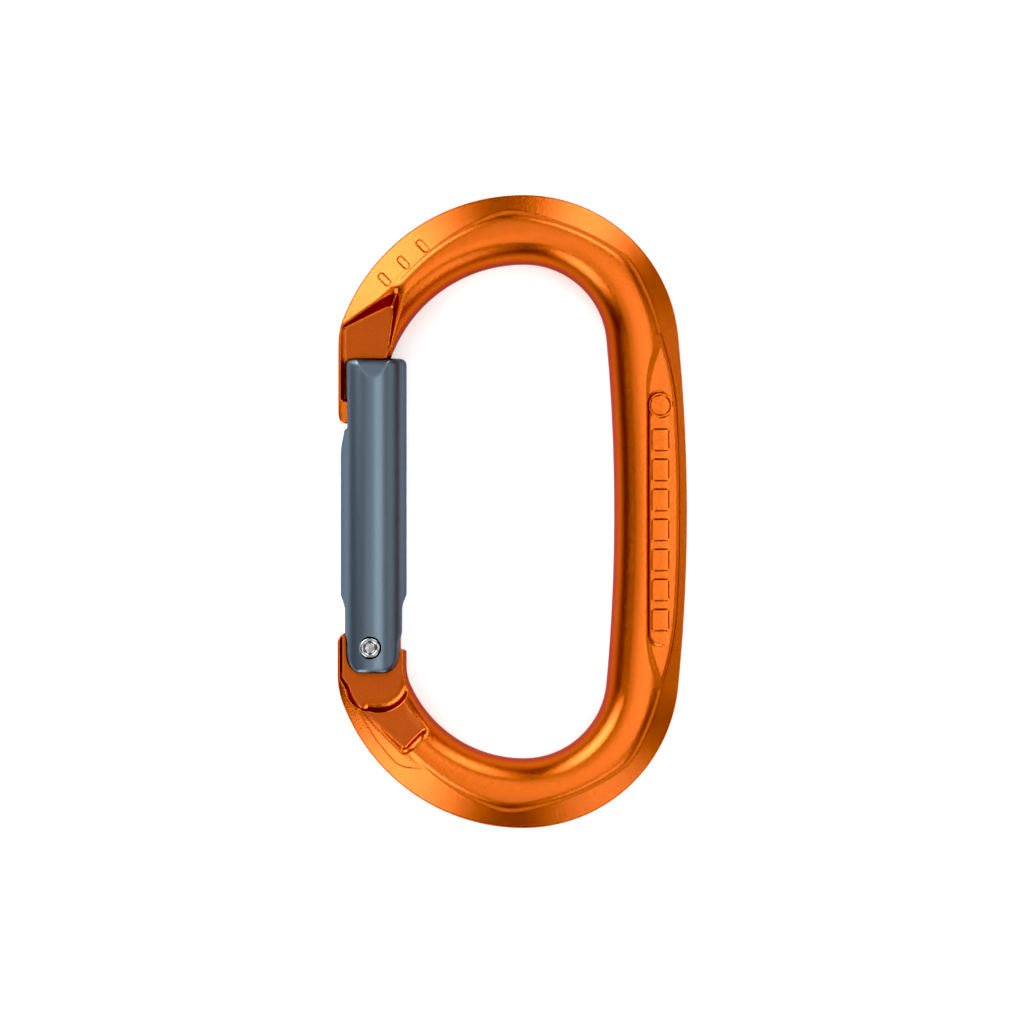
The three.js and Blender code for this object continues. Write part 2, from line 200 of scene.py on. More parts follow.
def inner_distance(x, y):
    """Distance outside the inner outline, into the bar."""
    up = np.abs(y)
    drop = INNER_TOP - INNER_CORNER_R
    lean = INNER_SPINE_X - INNER_X
    bow_r = (drop**2 + lean**2 - INNER_CORNER_R**2) / (2 * (lean - INNER_CORNER_R))
    bow = math.asin(drop / (bow_r - INNER_CORNER_R))
    spine_x = INNER_SPINE_X - bow_r
    on_spine = (x > INNER_X) & (np.arctan2(up, x - spine_x) < bow)
    hinge_arc = np.hypot(x - INNER_X, y + INNER_TOP - HINGE_ARC_R) - HINGE_ARC_R
    return np.select(
        [on_spine, x > INNER_X, y > 0],
        [
            np.hypot(x - spine_x, up) - bow_r,
            np.hypot(x - INNER_X, up - drop) - INNER_CORNER_R,
            np.hypot(x - INNER_X, y - INNER_TOP + NOSE_ARC_R) - NOSE_ARC_R,
        ],
        smax(hinge_arc, LIP_X - x, 0.6),
    )


# ------------------------------------------------------------------ the body

# Names that end in _HALF are heights above the middle plane
BAR_HALF_WIDTH = 5.0  # inner half of the bar's section
BACK_HALF_WIDTH = 8.0  # the crown falls off more slowly towards the outer edge
CROWN = 0.1  # the ellipse of the bar's section would stand this far above the box
CROWN_LAND = 0.07  # and it is cut level this far above it, before the fillet brings it down
EDGE_HALF = 3.1
FACET_TILT = math.radians(25)
SHOULDER_TILT = math.radians(69)
PANEL_HALF = 5.75
PANEL_X = 23.45  # the panel's long side, next to the bar's crown
PANEL_SLOPE = 0.21
PANEL_STRAIGHT = 20.0  # half the length of its straight side; arcs run on from there
PANEL_ARC_X = 38.05
PANEL_ARC_R = 14.6
PANEL_HALF_LENGTH = 31.0
PAD_SLOPE = 0.9  # how fast the panel falls off towards the bar's crown
PAD_WIDTH = 3.0
BAND_HALF = 5.08
BAND_INSET = 0.35
BAND_MIDDLE_Y = -1.2
BAND_HALF_LENGTH = 22.0
FLANGE_BELOW_CROWN = 0.35
TANG_HALF = 2.65
STEP_HALF = 4.55
STEP_CORNERS = ((-24.8, -35.6), (-18.7, -41.05), (-15.4, -37.7), (-17.9, -32.9))
HINGE_POCKET = (-23.3, -28.9)
HINGE_POCKET_R = 5.9
RIM_POCKET_R = 5.95  # the pocket's wider part, beside the rim, which the gate's ears swing through
RIM_POCKET_STRETCH = 1.13
RIM_POCKET_X = -25.0  # it ends here, short of the bar
RIM_WIDTH = 0.8
RIM_WIDENINGS = ((28.5, 31.0, 1.2), (31.0, 35.0, 0.4))  # from and to this far below y = 0, by how much
WEB_HALF = 2.55  # the nose's web, which the gate's keyhole slot takes in
WEB_TOP_LINE = ((-28.6, 33.3), (-20.6, 37.2))
WEB_INNER_LINE = ((-21.7, 26.8), (-20.4, 36.0))
WEB_RIM = 5.0  # the nose's rim begins this far outside the gate's axis
BULB_HALF = 3.2
BULB_TOP = 19.2
NOSE_TIP = 14.7
NOSE_CENTRE = (-36.28, 28.57)
NOSE_R = 15.71
NOSE_END_Y = 27.6
RIM_TOP = PIVOT_Y + 2.6
LIP_TOP = PIVOT_Y - 0.45
LEDGE = PIVOT_Y + 1.5
LEDGE_FROM = PIVOT_X + 2.1
LEDGE_TO = PIVOT_X + 5.2
HUB_R = 4.6
RIM_BEFORE_PIVOT = 4.2
TANG_HOLE_R = 1.38
WHOLE = -9.0  # stands for a place that is far from the gate's gap

# How far the walls lean back from upright, in degrees
PANEL_LEAN = 14
PANEL_END_LEAN = 30
BAND_LEAN = 30
EAR_WALL_LEAN = 16
RIM_LEAN = 42
STEP_LEANS = {"step_outer": 42, "step_end": 14, "step_inner": 25}
WEB_TOP_LEAN = 33
WEB_INNER_LEAN = 12
WEB_RIM_LEAN = 45

# Lens-shaped facets along the outer edge: middle, half length, and how much deeper than the points between
LENSES = ((60.2, 13.3, 1.45), (101.0, 27.5, 2.6), (38.5, 9.5, 0.75))
FACET_DEPTH = 2.5
PANEL_TIP = 30.0  # way along the spine from its middle to the panel's pointed end
BESIDE_PANEL = 1.15
BESIDE_PANEL_RISE = 1.55  # how much deeper the facet is at the panel's pointed end
RISE_FROM = 17.0  # way along the spine where it begins to deepen

# The facet beside the hinge pockets, by the way along the outer edge and the depth inside it
CREASE_FROM, CREASE_TO = 90.5, 97.0  # where the facet splits into two levels
UPPER_FROM, UPPER_TO = 95.5, 99.5  # where the upper one widens to meet the pocket
UPPER_REACH = 6.0
LOWER_REACH = 2.25
UPPER_RISE = 0.22

# The plain marks: a ring and slots on the panel, slashes on the nose-end facet
MARK_DEPTH = 0.2
MARK_X = 25.6
RING_Y, RING_R, RING_HALF_WIDTH = 18.4, 1.95, 0.22
SLOT_COUNT, SLOT_TOP, SLOT_SPACING = 7, 12.4, 5.2
SLOT_SHAPE = (1.45, 1.85, 0.45)  # half width, half length and corner radius
SLASH_COUNT, SLASH_X, SLASH_Y = 3, -22.2, 40.2
SLASH_SHAPE = (0.55, 1.3, 0.5)
SLASH_DX, SLASH_DY = 3.3, 2.9
SLASH_SIN, SLASH_COS = 0.69, 0.72


def facet_depth(along):
    """How far in from the outer edge the sloping facet reaches."""
    deep = np.full_like(along, -0.6)
    for middle, half, rise in LENSES:
        deep = smax(deep, rise * (1 - ((along - middle) / half) ** 2), 0.9)
    towards_tip = np.maximum(along - RISE_FROM, 0) / (PANEL_TIP - RISE_FROM)
    beside_panel = BESIDE_PANEL + BESIDE_PANEL_RISE * towards_tip**2
    return np.where(along < PANEL_TIP, beside_panel, FACET_DEPTH + deep)


def kept_plan(x, y):
    """Where the oval is whole, seen from the face: the gate's gap lies between the nose and the tang."""
    nose = smin(np.hypot(x - NOSE_CENTRE[0], y - NOSE_CENTRE[1]) - NOSE_R, NOSE_END_Y - y, 0.5)
    nose = smax(nose, smax(NOSE_TIP - y, GATE_SIDE_X - x, 2.8), 1.6)
    hub = smax(np.hypot(x - PIVOT_X, y - PIVOT_Y) - HUB_R, x - LEDGE_FROM - 0.3, 0.5)
    ledge = smax(x - LEDGE_TO, y - LEDGE, 0.3)
    rim = smax(smax(y - RIM_TOP, GATE_SIDE_X - x, 2.2), x - PIVOT_X + RIM_BEFORE_PIVOT, 0.5)
    tang = smin(smin(hub, ledge, 0.3), smin(y - LIP_TOP, rim, 0.3), 0.3)
    return np.where(x > 0, WHOLE, np.where(y > 0, nose, tang))


def groove(distance, half_width, soft=0.12):
    """1 where the distance is less than half_width, 0 where it is more, with a soft edge."""
    return 1 - step01(distance, half_width - soft, half_width + soft)


def slot(x, y, centre, half_x, half_y, round_r):
    """Distance outside a rounded rectangle, negative inside it."""
    dx = np.abs(x - centre[0]) - half_x + round_r
    dy = np.abs(y - centre[1]) - half_y + round_r
    outside = np.hypot(np.maximum(dx, 0), np.maximum(dy, 0))
    return outside + np.minimum(np.maximum(dx, dy), 0) - round_r


def marks(x, y):
    """1 inside the plain marks: a ring, a row of rounded slots and three slashes."""
    found = groove(np.abs(np.hypot(x - MARK_X, y - RING_Y) - RING_R), RING_HALF_WIDTH)
    for n in range(SLOT_COUNT):
        middle = (MARK_X, SLOT_TOP - SLOT_SPACING * n)
        found = np.maximum(found, groove(slot(x, y, middle, *SLOT_SHAPE), 0.0))
    for n in range(SLASH_COUNT):
        px, py = x - SLASH_X - SLASH_DX * n, y - SLASH_Y - SLASH_DY * n
        u, v = px * SLASH_COS + py * SLASH_SIN, -px * SLASH_SIN + py * SLASH_COS
        found = np.maximum(found, groove(slot(u, v, (0, 0), *SLASH_SHAPE), 0.0))
    return found


def body_plan(x, y):
    """Everything about the body that depends only on the place seen from the face."""
    depth, along = outer_outline(x, y)
    up = np.abs(y)
    reach = facet_depth(along)
    # beside the hinge pockets the facet is in two levels, and the upper one runs up to the pocket
    hinge_end = (y < 0) & (x < 0)
    split = step01(along, CREASE_FROM, CREASE_TO)
    lower = reach + (LOWER_REACH - reach) * split
    upper = UPPER_REACH * step01(along, UPPER_FROM, UPPER_TO)
    reach = np.where(hinge_end, smax(reach, upper, 0.3), reach)
    level = np.where(hinge_end, UPPER_RISE * split * step01(depth, lower - 0.15, lower + 0.25), 0.0)
    slope = math.tan(FACET_TILT)
    pocket_x, pocket_y = x - HINGE_POCKET[0], np.minimum(y - HINGE_POCKET[1], 0)
    rim_pocket = np.hypot(pocket_x / RIM_POCKET_STRETCH, pocket_y) - RIM_POCKET_R
    rim_width = RIM_WIDTH
    for start, end, more in RIM_WIDENINGS:
        rim_width = rim_width + more * step01(-y, start, end)
    panel_arc = np.hypot(x - PANEL_ARC_X, up - PANEL_STRAIGHT) - PANEL_ARC_R
    pad_fall = PANEL_SLOPE * np.maximum(x - PANEL_X, 0) + PAD_SLOPE * np.maximum(PANEL_X - x, 0)
    band_end = np.abs(y - BAND_MIDDLE_Y) - BAND_HALF_LENGTH
    return {
        "x": x,
        "y": y,
        "depth": depth,
        "inset": inner_distance(x, y),
        "reach": reach,
        "facet": EDGE_HALF + level + slope * depth,
        "foot": EDGE_HALF + slope * reach,
        "panel_side": np.where(up > PANEL_STRAIGHT, panel_arc, PANEL_X - x),
        "panel_end": step01(up, 19.0, 28.0),
        "panel": PANEL_HALF - PANEL_SLOPE * (x - PANEL_X),
        "pad": PANEL_HALF - pad_fall,
        "band": smax(PANEL_X + BAND_INSET - x, band_end, 2.5),
        "marks": marks(x, y),
        "kept": kept_plan(x, y),
        "hinge_arc": np.hypot(pocket_x, pocket_y) - HINGE_POCKET_R,
        "step_outer": side(x, y, STEP_CORNERS[0], STEP_CORNERS[1]),
        "step_end": side(x, y, STEP_CORNERS[1], STEP_CORNERS[2]),
        "step_inner": side(x, y, STEP_CORNERS[2], STEP_CORNERS[3]),
        "web_top": -side(x, y, *WEB_TOP_LINE),
        "web_inner": side(x, y, *WEB_INNER_LINE),
        "rim": rim_width - depth,
        "rim_end": smax(rim_pocket, x - RIM_POCKET_X, 1.0),
        "hole": np.hypot(x - PIVOT_X, y - PIVOT_Y) - TANG_HOLE_R,
    }


def shoulder_wall(p, up):
    """The steep wall at the inner end of the facet."""
    return (p["reach"] - p["depth"]) * math.sin(SHOULDER_TILT) + (up - p["foot"]) * math.cos(SHOULDER_TILT)


def round_bar(p, up):
    """The bar: an ellipse, wider and flatter on its outer side, with a small land on its crown."""
    half_width = np.where(p["inset"] > BAR_HALF_WIDTH, BACK_HALF_WIDTH, BAR_HALF_WIDTH)
    u = (p["inset"] - BAR_HALF_WIDTH) / half_width
    tall = HALF + CROWN
    k0 = np.sqrt(u**2 + (up / tall) ** 2) + 1e-6
    k1 = np.sqrt((u / half_width) ** 2 + (up / tall**2) ** 2) + 1e-6
    bar = smax(k0 * (k0 - 1) / k1, up - HALF - CROWN_LAND, 0.35)
    # its shoulder stands at the inner end of the facet, and on the spine at the panel's long side
    lean = np.radians(PANEL_LEAN + (PANEL_END_LEAN - PANEL_LEAN) * p["panel_end"])
    panel_wall = (up - p["panel"]) * np.sin(lean) - p["panel_side"] * np.cos(lean)
    shoulder = smax(shoulder_wall(p, up), panel_wall, 0.3)
    # the fillet above it is tighter along the panel's straight side
    fillet = 1.15 - 0.75 * (1 - p["panel_end"]) * (p["x"] > 15)
    return smax(bar, shoulder, fillet)


def flange(p, up):
    """The flange outside the bar, with its sloping facet from the outer edge."""
    solid = (up - p["facet"]) * math.cos(FACET_TILT)
    solid = smax(solid, np.maximum(p["depth"] - p["reach"] - 0.8, 2.0 - p["inset"]), 0.2)
    return smax(solid, up - HALF + FLANGE_BELOW_CROWN, 0.6)


def spine_panel(p, up):
    """The panel on the spine, above the facet and below the crown."""
    solid = smax(up - p["pad"], shoulder_wall(p, up), 0.35)
    solid = smax(solid, np.abs(p["y"]) - PANEL_HALF_LENGTH, 0.5)
    return np.maximum(solid, PANEL_X - PAD_WIDTH - p["x"])


def band_recess(p, up):
    """Taken away for the level band along the panel."""
    return smax(slope_wall(p["band"], up - BAND_HALF, BAND_LEAN), BAND_HALF - up, 0.3)


def ear_recess(p, up):
    """Taken away for the gate's ears."""
    cut = slope_wall(p["hinge_arc"], up - STEP_HALF, EAR_WALL_LEAN)
    beside_rim = smax(slope_wall(p["rim"], up - TANG_HALF, RIM_LEAN), p["rim_end"], 0.4)
    cut = smin(cut, beside_rim, 0.3)
    cut = smax(cut, TANG_HALF - up, 0.2 + 1.3 * step01(p["x"], -28.0, -23.0))
    return smax(cut, p["y"] + 5, 1)


def step_recess(p, up):
    """Taken away for the shallower step beside the bar."""
    above = up - STEP_HALF
    outer_wall, end_wall, inner_wall = (
        slope_wall(p[wall], above, lean) for wall, lean in STEP_LEANS.items()
    )
    cut = smax(smax(outer_wall, end_wall, 0.6), inner_wall, 0.5)
    return smax(smax(cut, -above, 0.3), p["y"] + 30, 1)


def nose_recess(p, up):
    """Taken away beside the nose's web, for the gate's free end."""
    above = up - WEB_HALF
    top_wall = slope_wall(p["web_top"], up - EDGE_HALF - 1, WEB_TOP_LEAN)
    cut = smax(top_wall, slope_wall(p["web_inner"], above, WEB_INNER_LEAN), 1.6)
    cut = smax(cut, slope_wall(GATE_X - WEB_RIM - p["x"], above, WEB_RIM_LEAN), 0.3)
    return smax(smax(cut, -above, 0.35), BULB_TOP - p["y"], 0.5)


def bulb_recess(p, up):
    """Taken away beside the thicker bulb at the nose's tip."""
    below_web = smax(p["y"] - BULB_TOP - 0.3, smax(p["x"], -p["y"], 1), 1)
    return smax(BULB_HALF - up, below_web, 0.3)


def body_value(p, z):
    """Negative inside the forged body."""
    up = np.abs(z)
    solid = smin(smin(round_bar(p, up), spine_panel(p, up), 0.25), flange(p, up), 0.2)
    solid = smax(solid, -p["depth"], 0.4)
    solid = smax(solid, -band_recess(p, up), 0.12)
    solid = solid + MARK_DEPTH * p["marks"]
    solid = smax(solid, p["kept"], 0.5)
    solid = smax(solid, -step_recess(p, up), 0.4 + 0.7 * step01(p["x"], -20.0, -17.5))
    solid = smax(solid, -ear_recess(p, up), 0.3)
    solid = smax(solid, -nose_recess(p, up), 0.3 + 0.6 * step01(p["x"], -24.0, -20.5))
    solid = smax(solid, -bulb_recess(p, up), 0.3)
    return smax(solid, -p["hole"], 0.2)


# mask of the pockets' level floors, which get painted shade in their colour and a rougher finish
POCKET_SHADE_MASK = "pocket"


def mark_shaded_pocket_floors(made):
    """Stores on the body's mesh where the level floors of its pockets are, as the mask for the painted
    shade and the rougher finish on those floors.
    """
    mesh = made.data
    points = np.empty(len(mesh.vertices) * 3)
    mesh.vertices.foreach_get("co", points)
    x, y, z = (points.reshape(-1, 3) / MM - [0, 0, HALF]).T
    facing = np.empty(len(mesh.vertices) * 3)
    mesh.vertex_normals.foreach_get("vector", facing)
    level = step01(np.abs(facing[2::3]), 0.94, 0.99)
    floors = ((TANG_HALF, y < -20.0), (STEP_HALF, y < -30.0), (WEB_HALF, y > BULB_TOP))
    found = np.zeros(len(x))
    for height, end in floors:
        near = 1 - step01(np.abs(np.abs(z) - height), 0.05, 0.4)
        found = np.maximum(found, near * end)
    depth = outer_outline(x, y)[0]
    found *= level * (x < -15.0) * step01(np.minimum(depth, inner_distance(x, y)), 0.4, 0.9)
    mesh.attributes.new(POCKET_SHADE_MASK, "FLOAT", "POINT").data.foreach_set("value", found)


# ------------------------------------------------------------------ the gate

GATE_SLOT_HALF = 2.85
GATE_SLOT_CENTRE = PIVOT_Y + 6.1
WEB_SLOT_HALF = 2.8
BULB_SLOT_HALF = 3.45
NOSE_CLEARANCE = 0.6
BORE_R = 1.9
BORE_END = 4.6
EAR_HOLE_R = 1.38
EAR_HALF_WIDTH = 4.85
EAR_SHIFT = 0.15  # the ears' middle lies this far outside the gate's axis
EAR_ROUND_X = 2.85  # half axes of the ears' rounded corners
EAR_ROUND_Y = 4.2
RELIEF_BOTTOM = 11.2  # a relief on the outer side makes room for the nose's rim
RELIEF_FULL = 14.4
RELIEF_OUT = 4.9  # its floor lies this far outside the gate's axis
FLAT_TILT = math.radians(14.4)  # the flats at the free end
FLAT_LENGTH = 3.3
SINK_FROM = 4.8  # the sink for the rivet's head widens above this height
SINK_SLOPE = 1.1


def gate_plan(x, y):
    """Everything about the gate that depends only on the place seen from the face."""
    across = x - GATE_X
    beyond_x = np.maximum(np.abs(across + EAR_SHIFT) - (EAR_HALF_WIDTH - EAR_ROUND_X), 0) / EAR_ROUND_X
    beyond_y = np.maximum(GATE_BOTTOM + EAR_ROUND_Y - y, 0) / EAR_ROUND_Y
    corner = (np.hypot(beyond_x, beyond_y) - 1) * EAR_ROUND_X
    ends = corner - 3.0 * step01(y, GATE_BOTTOM + 5, GATE_BOTTOM + 12)
    ramp_end = (GATE_X - RELIEF_OUT, RELIEF_FULL)
    ramp = -side(x, y, (GATE_X - GATE_R, RELIEF_BOTTOM), ramp_end)
    relief = smin(ramp, GATE_X - RELIEF_OUT - x, 0.5)
    return {
        "x": x,
        "y": y,
        "across": across,
        "ends": ends,
        "relief": relief,
        "nose": np.hypot(x - NOSE_CENTRE[0], y - NOSE_CENTRE[1]) - NOSE_R - NOSE_CLEARANCE,
        "rivet": np.hypot(x - PIVOT_X, y - PIVOT_Y),
    }


def gate_value(p, z):
    """Negative inside the gate."""
    up = np.abs(z)
    x, y = p["x"], p["y"]
    solid = np.hypot(p["across"], z) - GATE_R
    flat = (up - GATE_R) * math.cos(FLAT_TILT) + (y - GATE_TOP + FLAT_LENGTH) * math.sin(FLAT_TILT)
    solid = smax(solid, flat, 0.12)
    solid = smax(solid, y - GATE_TOP, 1.3)
    solid = smax(solid, p["relief"], 0.4)
    solid = smax(solid, p["ends"], 0.7)
    # keyhole for the nose
    slot = smax(up - WEB_SLOT_HALF, p["nose"], 0.2)
    socket = smax(smax(up - BULB_SLOT_HALF, p["nose"], 0.2), y - BULB_TOP - 0.5, 0.3)
    slot = smax(smin(slot, socket, 0.2), NOSE_TIP - NOSE_CLEARANCE - y, 1.0)
    solid = smax(solid, -slot, 0.2)
    # round-ended slot between the ears, and the spring's bore above it
    ears = np.hypot(z, np.maximum(y - GATE_SLOT_CENTRE, 0)) - GATE_SLOT_HALF
    bore = smax(np.hypot(x - PLUNGER_X, z) - BORE_R, y - BORE_END, 0.3)
    bore = smax(bore, GATE_SLOT_CENTRE - y, 0.3)
    solid = smax(solid, -smin(ears, bore, 0.2), 0.25)
    sink = EAR_HOLE_R + np.clip((up - SINK_FROM) * SINK_SLOPE, 0, RIVET_R + 0.1 - EAR_HOLE_R)
    return smax(solid, sink - p["rivet"], 0.12)


# ------------------------------------------------------------------ meshes from formulas

CORNERS = [(i, j, k) for i in (0, 1) for j in (0, 1) for k in (0, 1)]
EDGES = [
    (a, b)
    for a in range(8)
    for b in range(a + 1, 8)
    if sum(abs(m - n) for m, n in zip(CORNERS[a], CORNERS[b])) == 1
]


def net(plan, value, low, high, step):
    """Points and four-sided faces near the zero surface of a solid that is alike above and below z = 0."""
    xs = np.arange(low[0], high[0] + step, step)
    ys = np.arange(low[1], high[1] + step, step)
    layers = (np.arange(int(high[2] / step) + 2) + 0.5) * step
    grid_x, grid_y = np.meshgrid(xs, ys, indexing="ij")
    planned = plan(grid_x, grid_y)
    upper = np.stack([value(planned, z).astype(np.float32) for z in layers], axis=2)
    field = np.concatenate([upper[:, :, ::-1], upper], axis=2)
    zs = np.concatenate([-layers[::-1], layers])
    inside = field < 0
    n = [size - 1 for size in field.shape]
    count = sum(
        inside[i : i + n[0], j : j + n[1], k : k + n[2]].astype(np.int8) for i, j, k in CORNERS
    )
    active = (count > 0) & (count < 8)
    cells = np.argwhere(active)
    number = np.full(active.shape, -1, np.int32)
    number[active] = np.arange(len(cells))
    values = np.stack(
        [field[cells[:, 0] + i, cells[:, 1] + j, cells[:, 2] + k] for i, j, k in CORNERS], axis=1
    )
    total = np.zeros((len(cells), 3))
    hits = np.zeros(len(cells))
    for a, b in EDGES:
        crossed = (values[:, a] < 0) != (values[:, b] < 0)
        va, vb = values[crossed, a], values[crossed, b]
        t = (va / (va - vb))[:, None]
        start, end = np.array(CORNERS[a], float), np.array(CORNERS[b], float)
        total[crossed] += start + t * (end - start)
        hits[crossed] += 1
    local = cells + total / hits[:, None]
    points = np.stack(
        [xs[0] + local[:, 0] * step, ys[0] + local[:, 1] * step, zs[0] + local[:, 2] * step], axis=1
    )
    quads = []
    for axis in range(3):
        b, c = (axis + 1) % 3, (axis + 2) % 3
        ahead = np.roll(inside, -1, axis)
        change = inside != ahead
        keep = [slice(1, -1)] * 3
        keep[axis] = slice(0, -1)
        found = np.argwhere(change[tuple(keep)])
        found[:, b] += 1
        found[:, c] += 1
        corners = []
        for back_b, back_c in ((1, 1), (0, 1), (0, 0), (1, 0)):
            at = found.copy()
            at[:, b] -= back_b
            at[:, c] -= back_c
            corners.append(number[at[:, 0], at[:, 1], at[:, 2]])
        quad = np.stack(corners, axis=1)
        outward = inside[found[:, 0], found[:, 1], found[:, 2]]
        quad[~outward] = quad[~outward][:, ::-1]
        quads.append(quad)
    return points, np.concatenate(quads)


def value_and_slope(plan, value, points, reach=0.01):
    """The solid's value at each point, and how fast it grows along x, y and z."""
    x, y, z = points.T
    here = plan(x, y)
    slope = np.stack(
        [
            value(plan(x + reach, y), z) - value(plan(x - reach, y), z),
            value(plan(x, y + reach), z) - value(plan(x, y - reach), z),
            value(here, z + reach) - value(here, z - reach),
        ],
        axis=1,
    ) / (2 * reach)
    return value(here, z), slope


def settle(plan, value, points, quads, step):
    """Evens the points out and moves them onto the surface; returns them with the surface's normals."""
    pairs = np.concatenate([quads[:, [i, (i + 1) % 4]] for i in range(4)])
    pairs = np.concatenate([pairs, pairs[:, ::-1]])
    degree = np.bincount(pairs[:, 0], minlength=len(points))[:, None]
    for turn in range(4):
        if turn < 2:
            mean = np.stack(
                [np.bincount(pairs[:, 0], points[pairs[:, 1], i], len(points)) for i in range(3)], axis=1
            )
            points = points * 0.5 + mean / degree * 0.5
        amount, slope = value_and_slope(plan, value, points)
        shift = slope * (amount / np.maximum((slope**2).sum(1), 0.05))[:, None]
        length = np.linalg.norm(shift, axis=1, keepdims=True)
        points = points - shift * np.minimum(1, step / np.maximum(length, 1e-9))
    slope = value_and_slope(plan, value, points)[1]
    return points, slope / np.maximum(np.linalg.norm(slope, axis=1, keepdims=True), 1e-9)


def piece(name, points, faces, normals=None):
    """A mesh object from points in millimetres, z counted from the middle plane."""
    mesh = bpy.data.meshes.new(name)
    metres = (np.asarray(points, float) + [0, 0, HALF]) * MM
    mesh.from_pydata(metres.tolist(), [], [list(face) for face in faces])
    mesh.polygons.foreach_set("use_smooth", [True] * len(mesh.polygons))
    mesh.update()
    if normals is not None:
        mesh.normals_split_custom_set_from_vertices(normals.tolist())
    made = bpy.data.objects.new(name, mesh)
    bpy.context.collection.objects.link(made)
    return made


def formula_piece(name, plan, value, low, high):
    """The mesh object of a solid given by formulas that lies in the box from low to high."""
    margin = 3 * STEP
    low = [number - margin for number in low]
    high = [number + margin for number in high]
    points, quads = net(plan, value, low, high, STEP)
    points, normals = settle(plan, value, points, quads, STEP)
    return piece(name, points, quads.tolist(), normals)


# ------------------------------------------------------------------ turned parts and the spring


def turned(name, profile, sides, axis, centre):
    """A closed solid of revolution.

    The profile is (radius, height) pairs from one end of the axis to the other.
    """
    points, faces = [], []
    for radius, height in profile:
        for n in range(sides):
            a = 2 * math.pi * n / sides
            across = (radius * math.cos(a), radius * math.sin(a))
            if axis == "z":
                points.append((centre[0] + across[0], centre[1] + across[1], height))
            else:
                points.append((centre[0] + across[0], height, centre[1] - across[1]))
    for row in range(len(profile) - 1):
        for n in range(sides):
            m = (n + 1) % sides
            this, above = row * sides, (row + 1) * sides
            faces.append((this + n, this + m, above + m, above + n))
    faces.append(tuple(reversed(range(sides))))
    faces.append(tuple(range((len(profile) - 1) * sides, len(profile) * sides)))
    return piece(name, points, faces)


def rounded(profile, radius, steps=4):
    """The profile with each inner corner turned into a small curve."""
    made = [profile[0]]
    for before, corner, after in zip(profile, profile[1:], profile[2:]):
        c = Vector(corner)
        to_before, to_after = Vector(before) - c, Vector(after) - c
        r = min(radius, to_before.length * 0.45, to_after.length * 0.45)
        start, end = c + to_before.normalized() * r, c + to_after.normalized() * r
        for n in range(steps + 1):
            t = n / steps
            made.append(tuple((1 - t) ** 2 * start + 2 * t * (1 - t) * c + t * t * end))
    return made + [profile[-1]]


def make_rivet():
    """A shank with a flared, hollow head at each end."""
    cup = RIVET_R * 0.6
    shank = 1.3
    end = [
        (0.02, RIVET_TOP - 0.5),
        (cup * 0.75, RIVET_TOP - 0.48),
        (cup, RIVET_TOP - 0.14),
        (cup + 0.26, RIVET_TOP),
        (RIVET_R - 0.16, RIVET_TOP - 0.1),
        (RIVET_R, RIVET_TOP - 0.3),
        (RIVET_R - 0.03, RIVET_TOP - 0.4),
        (shank, RIVET_TOP - 0.88),
        (shank, 0.5),
    ]
    end = rounded(end, 0.12)
    whole = [(r, -h) for r, h in end] + [(r, h) for r, h in reversed(end)]
    return turned("rivet", whole, 64, "z", (PIVOT_X, PIVOT_Y))


def make_plunger():
    """A thin rod with a round foot, and a wide cap that the spring presses on."""
    foot, head = PLUNGER_LOW[1], PLUNGER_HIGH[1]
    rod = 0.8
    under_cap = head - 1.2
    wide = (PLUNGER_HIGH[0] - PLUNGER_LOW[0]) / 2
    ball = [
        (max(rod * math.sin(a), 0.02), foot + rod * (1 - math.cos(a)))
        for a in (math.pi / 2 * n / 8 for n in range(9))
    ]
    cap = [(rod, under_cap), (wide, under_cap), (wide, head), (0.02, head)]
    profile = ball + rounded([ball[-1]] + cap, 0.15)[1:]
    return turned("plunger", profile, 40, "y", (PLUNGER_X, 0.0))


def make_spring():
    """A coil of round wire, with closer turns at its ends."""
    wire, coils, per_coil = 0.23, 10, 32
    radius = (SPRING_HIGH[0] - SPRING_LOW[0]) / 2 - wire
    low, high = SPRING_LOW[1] + wire, SPRING_HIGH[1] - wire
    curve = bpy.data.curves.new("spring", "CURVE")
    curve.dimensions = "3D"
    curve.bevel_depth = wire * MM
    curve.bevel_resolution = 3
    curve.use_fill_caps = True
    spline = curve.splines.new("POLY")
    count = coils * per_coil + 1
    spline.points.add(count - 1)
    for n in range(count):
        t = n / (count - 1)
        a = 2 * math.pi * coils * t
        eased = 0.45 * t + 0.55 * (t - math.sin(2 * math.pi * t) / (2 * math.pi))
        spline.points[n].co = (
            (PLUNGER_X + radius * math.cos(a)) * MM,
            (low + (high - low) * eased) * MM,
            (HALF + radius * math.sin(a)) * MM,
            1,
        )
    spline.use_smooth = True
    bent = bpy.data.objects.new("spring", curve)
    bpy.context.collection.objects.link(bent)
    bpy.context.view_layer.update()
    mesh = bpy.data.meshes.new_from_object(bent.evaluated_get(bpy.context.evaluated_depsgraph_get()))
    bpy.data.objects.remove(bent)
    made = bpy.data.objects.new("spring", mesh)
    bpy.context.collection.objects.link(made)
    return made


# ------------------------------------------------------------------ materials


def new_material(name):
    """A material with its nodes and links."""
    material = bpy.data.materials.new(name)
    material.use_nodes = True
    return material, material.node_tree.nodes, material.node_tree.links


def add_grain(nodes, links, shader, scale, strength, distance):
    """A fine grain in the surface, as a bump; returns its noise."""
    place = nodes.new("ShaderNodeTexCoord")
    noise = nodes.new("ShaderNodeTexNoise")
    noise.inputs["Scale"].default_value = scale
    noise.inputs["Detail"].default_value = 3.0
    noise.inputs["Roughness"].default_value = 0.6
    bump = nodes.new("ShaderNodeBump")
    bump.inputs["Strength"].default_value = strength
    bump.inputs["Distance"].default_value = distance
    links.new(place.outputs["Object"], noise.inputs["Vector"])
    links.new(noise.outputs["Fac"], bump.inputs["Height"])
    links.new(bump.outputs["Normal"], shader.inputs["Normal"])
    return noise


